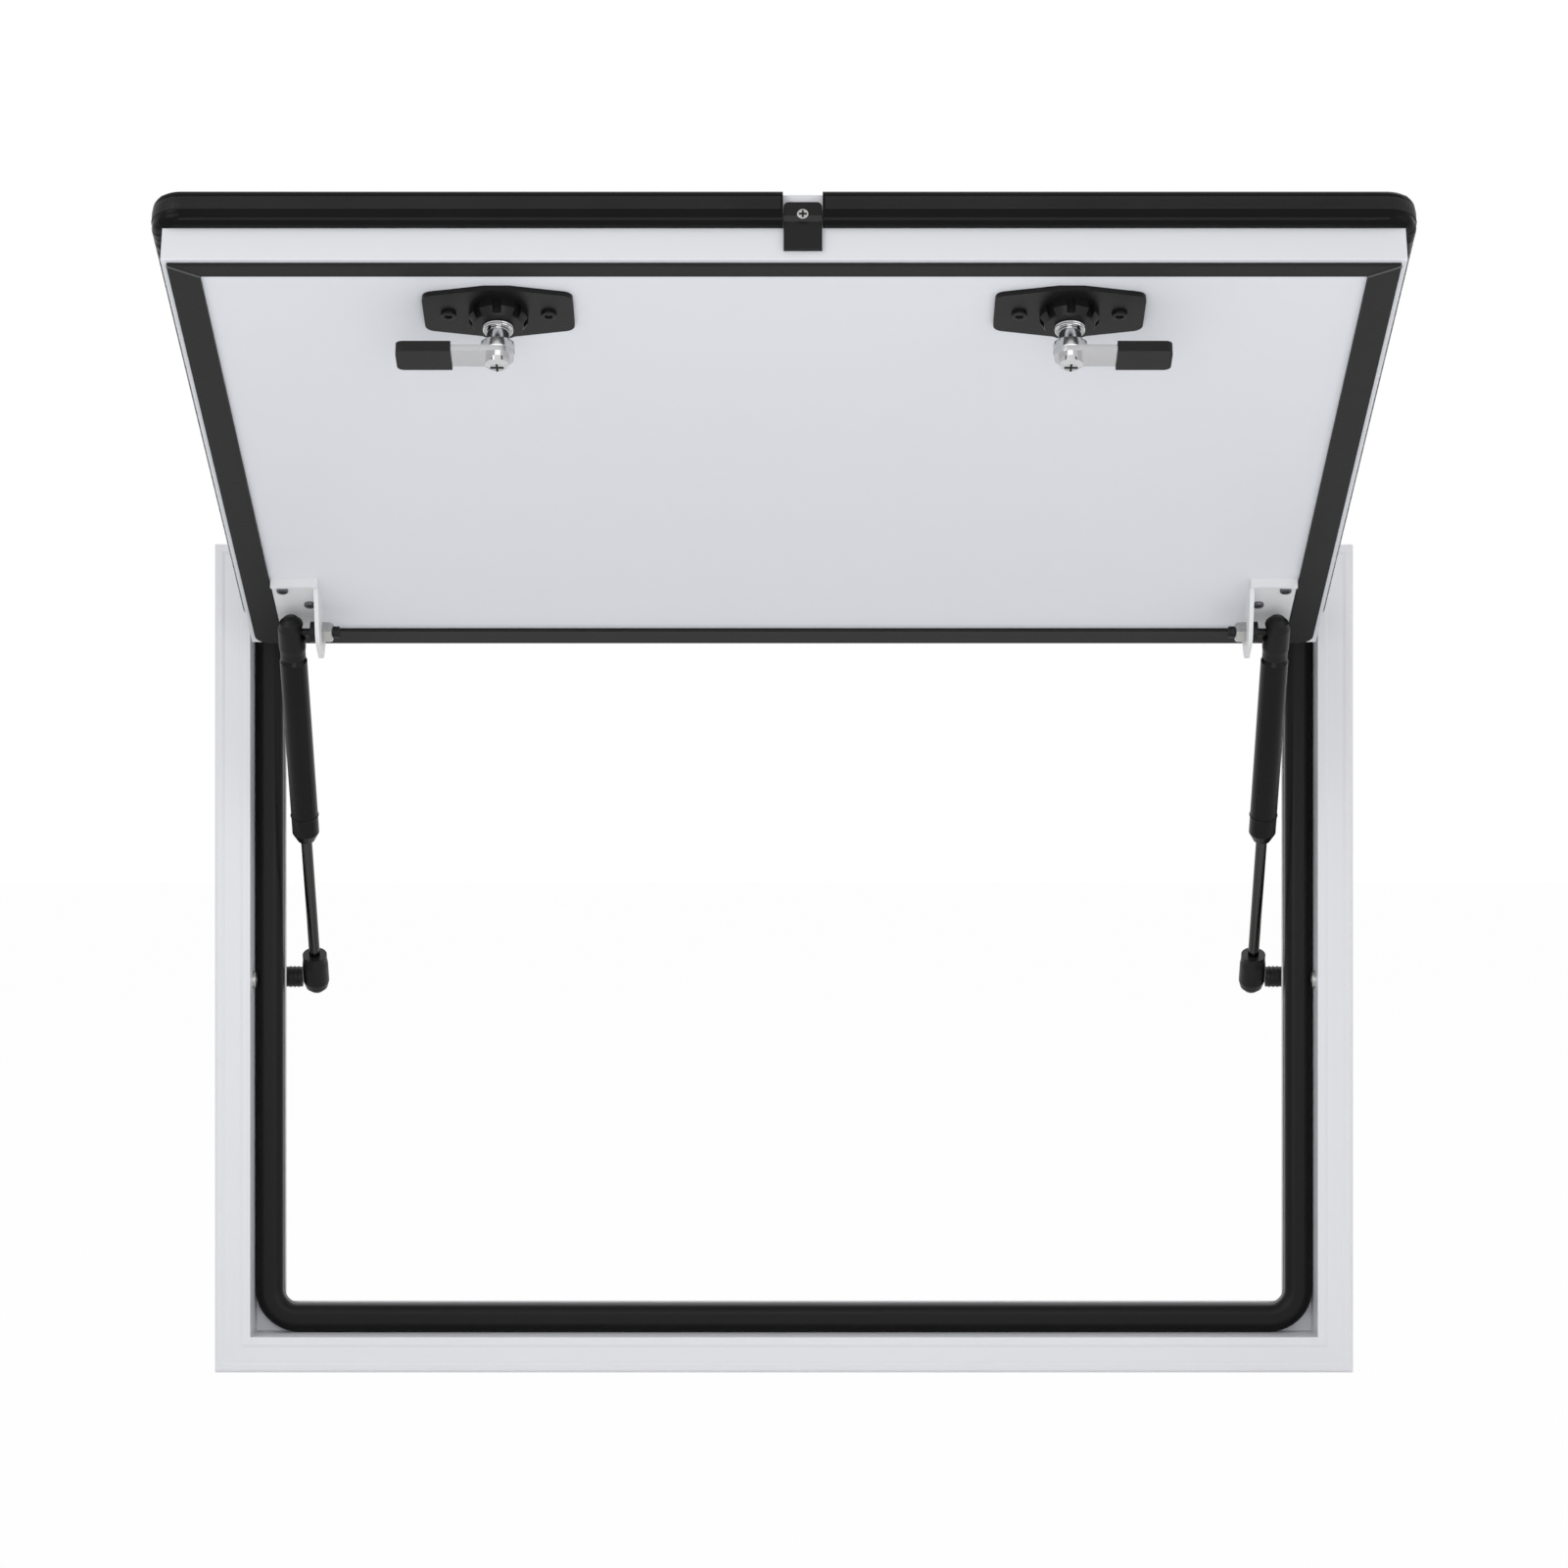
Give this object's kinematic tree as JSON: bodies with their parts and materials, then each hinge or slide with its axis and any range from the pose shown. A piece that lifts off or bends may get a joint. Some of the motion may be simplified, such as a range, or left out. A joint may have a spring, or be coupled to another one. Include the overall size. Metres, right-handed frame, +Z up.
{
  "type": "storage compartment door",
  "caption": "Top-hinged storage compartment door in a mitred flanged frame, held open by gas struts, with turn latches on its inner face, a bulb seal and black edge trim.",
  "frame": {"origin": "on the back face of the frame's flange, in the middle of the bottom rail", "axes": "+X to the right seen from outside, +Y into the vehicle, +Z up"},
  "size_m": [0.61, 0.452, 0.5837],
  "materials": {
    "frame_white": "satin",
    "door_white": "satin",
    "inner_panel": "satin",
    "core_foam": "matte",
    "seal_rubber": "satin",
    "gasket_rubber": "matte",
    "trim_rubber": "gloss",
    "black_plastic": "satin",
    "sleeve_plastic": "satin",
    "hinge_metal": "satin",
    "bracket_white": "satin",
    "stud_black": "satin",
    "tube_black": "satin",
    "rod_steel": "polished",
    "lock_chrome": "polished",
    "cam_steel": "satin"
  },
  "bodies": {
    "frame": {"frame_right_rail": "frame_white", "frame_left_rail": "frame_white", "frame_bottom_rail": "frame_white", "frame_top_rail": "frame_white", "frame_seal": "seal_rubber", "hinge_frame_leaf": "hinge_metal", "hinge_pin": "hinge_metal", "left_stud_bracket": "bracket_white", "left_lower_stud": "stud_black", "right_stud_bracket": "bracket_white", "right_lower_stud": "stud_black"},
    "door": {"door_right_edge": "door_white", "door_left_edge": "door_white", "door_bottom_edge": "door_white", "door_top_edge": "door_white", "door_core": "core_foam", "door_outer_skin": "door_white", "door_inner_skin": "inner_panel", "door_gasket": "gasket_rubber", "left_edge_trim": "trim_rubber", "right_edge_trim": "trim_rubber", "trim_clip": "black_plastic", "hinge_door_leaf": "hinge_metal", "left_strut_bracket": "bracket_white", "left_upper_stud": "stud_black", "right_strut_bracket": "bracket_white", "right_upper_stud": "stud_black", "left_latch_barrel": "lock_chrome", "left_latch_plate": "black_plastic", "left_latch_collar": "black_plastic", "right_latch_barrel": "lock_chrome", "right_latch_plate": "black_plastic", "right_latch_collar": "black_plastic"},
    "left_cam": {"left_latch_spindle": "lock_chrome", "left_cam_arm": "cam_steel", "left_cam_sleeve": "sleeve_plastic"},
    "left_tube": {"left_upper_fitting": "black_plastic", "left_strut_tube": "tube_black"},
    "left_rod": {"left_strut_rod": "rod_steel", "left_lower_fitting": "black_plastic"},
    "right_cam": {"right_latch_spindle": "lock_chrome", "right_cam_arm": "cam_steel", "right_cam_sleeve": "sleeve_plastic"},
    "right_tube": {"right_upper_fitting": "black_plastic", "right_strut_tube": "tube_black"},
    "right_rod": {"right_strut_rod": "rod_steel", "right_lower_fitting": "black_plastic"}
  },
  "joints": [
    {"name": "door_hinge", "type": "hinge", "parent": "frame", "child": "door", "pos_m": [0, -0.018, 0.4075], "axis": [1, 0, 0], "range_deg": [0, 114.5]},
    {"name": "left_cam_turn", "type": "hinge", "parent": "door", "child": "left_cam", "pos_m": [-0.131, -0.34843, 0.52402], "axis": [0, 0.4147, 0.91], "range_deg": [0, 90]},
    {"name": "left_strut_swing", "type": "hinge", "parent": "door", "child": "left_tube", "pos_m": [-0.256, -0.07447, 0.38488], "axis": [1, 0, 0], "range_deg": [-140.75, 0.5]},
    {"name": "left_rod_slide", "type": "slide", "parent": "left_tube", "child": "left_rod", "axis": [0, 0.5595, -0.8288], "range_m": [-0.05622, 0.0005]},
    {"name": "right_cam_turn", "type": "hinge", "parent": "door", "child": "right_cam", "pos_m": [0.131, -0.34843, 0.52402], "axis": [0, -0.4147, -0.91], "range_deg": [0, 90]},
    {"name": "right_strut_swing", "type": "hinge", "parent": "door", "child": "right_tube", "pos_m": [0.256, -0.07447, 0.38488], "axis": [1, 0, 0], "range_deg": [-140.75, 0.5]},
    {"name": "right_rod_slide", "type": "slide", "parent": "right_tube", "child": "right_rod", "axis": [0, 0.5595, -0.8288], "range_m": [-0.05622, 0.0005]}
  ],
  "couplings": [
    {"joint": "left_strut_swing", "follows": "door_hinge", "ratio": -1.2249},
    {"joint": "left_rod_slide", "follows": "door_hinge", "m_per_rad": -0.027883},
    {"joint": "right_strut_swing", "follows": "door_hinge", "ratio": -1.2249},
    {"joint": "right_rod_slide", "follows": "door_hinge", "m_per_rad": -0.027883}
  ]
}
